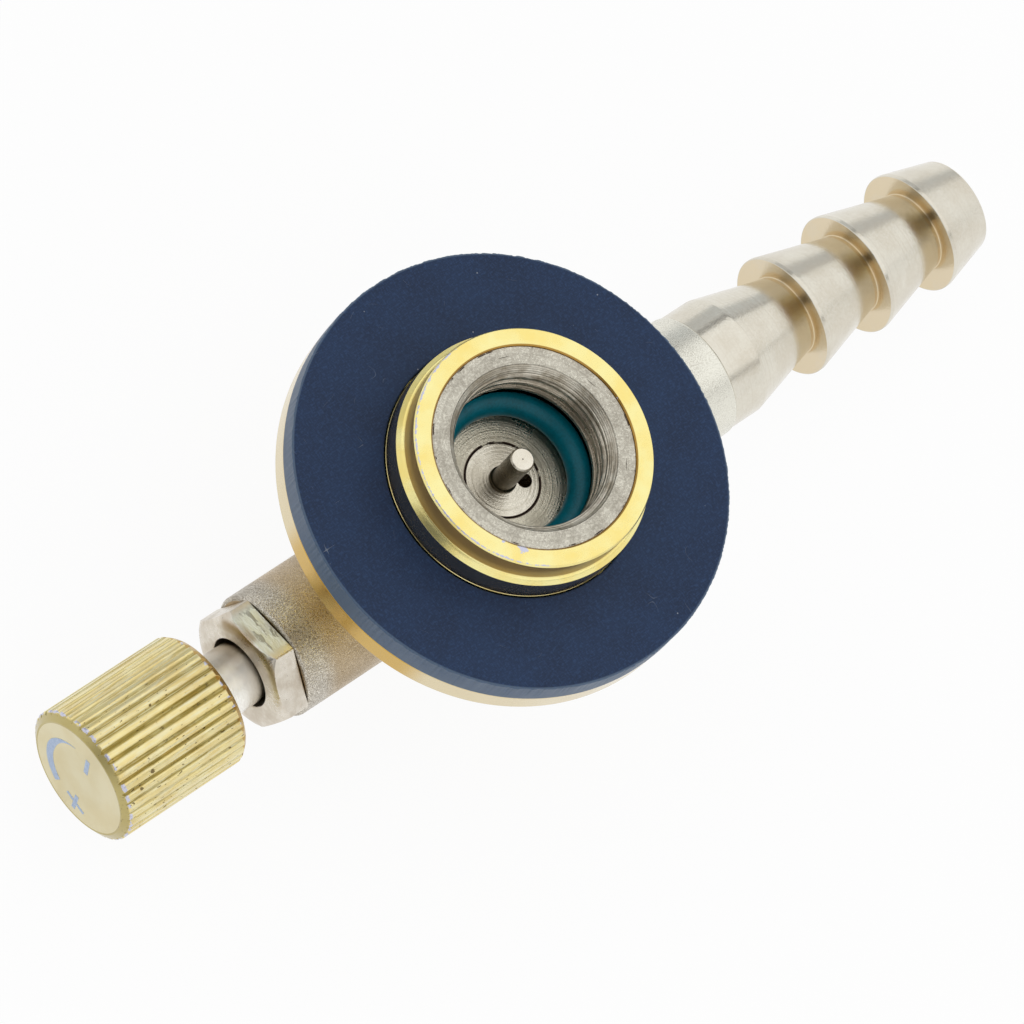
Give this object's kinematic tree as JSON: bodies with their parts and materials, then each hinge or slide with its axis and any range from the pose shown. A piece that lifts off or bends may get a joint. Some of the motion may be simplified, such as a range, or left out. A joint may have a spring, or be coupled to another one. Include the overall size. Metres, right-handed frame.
{
  "type": "gas canister needle valve with hose tail",
  "caption": "Screw-on gas canister valve with a rubber-faced flange, stepped collar, central depressor pin, fluted flow knob and ridged hose tail.",
  "frame": {"origin": "on the inlet's axis, at the top face of the rubber pad", "axes": "+Z out of the inlet's mouth, +X along the barrel towards the hose tail; the knob is at -X"},
  "size_m": [0.0784, 0.03, 0.0223],
  "materials": {
    "forged_brass": "tumbled forging, fine grain",
    "turned_brass": "turned, fine rings",
    "nut_brass": "satin",
    "tail_brass": "bright turned",
    "gold_anodised": "gold anodised, satin",
    "navy_rubber": "matt, lint specks",
    "teal_rubber": "smooth",
    "black_rubber": "smooth",
    "sintered_bronze": "sintered grains",
    "white_plastic": "matt",
    "red_fibre": "matt"
  },
  "bodies": {
    "body": {"valve_body": "forged_brass", "flange_collar": "gold_anodised", "rubber_pad": "navy_rubber", "inlet_o_ring": "teal_rubber", "pin_holder": "turned_brass", "depressor_pin": "turned_brass", "inlet_filter": "sintered_bronze", "gland_washer": "white_plastic", "gland_nut": "nut_brass", "hose_tail": "tail_brass", "tail_washer": "red_fibre"},
    "spindle_seals": {"spindle_o_ring_front": "black_rubber", "spindle_o_ring_rear": "black_rubber"},
    "spindle_and_knob": {"spindle": "turned_brass", "knob": "gold_anodised"}
  },
  "joints": [
    {"name": "spindle_lift", "type": "slide", "parent": "body", "child": "spindle_seals", "axis": [-1, 0, 0], "range_m": [0, 0.00187]},
    {"name": "knob_turn", "type": "hinge", "parent": "spindle_seals", "child": "spindle_and_knob", "pos_m": [-0.0266, 0, -0.0131], "axis": [-1, 0, 0], "range_deg": [0, 900]}
  ],
  "couplings": [
    {"joint": "knob_turn", "follows": "spindle_lift", "rad_per_m": 8377.6}
  ]
}
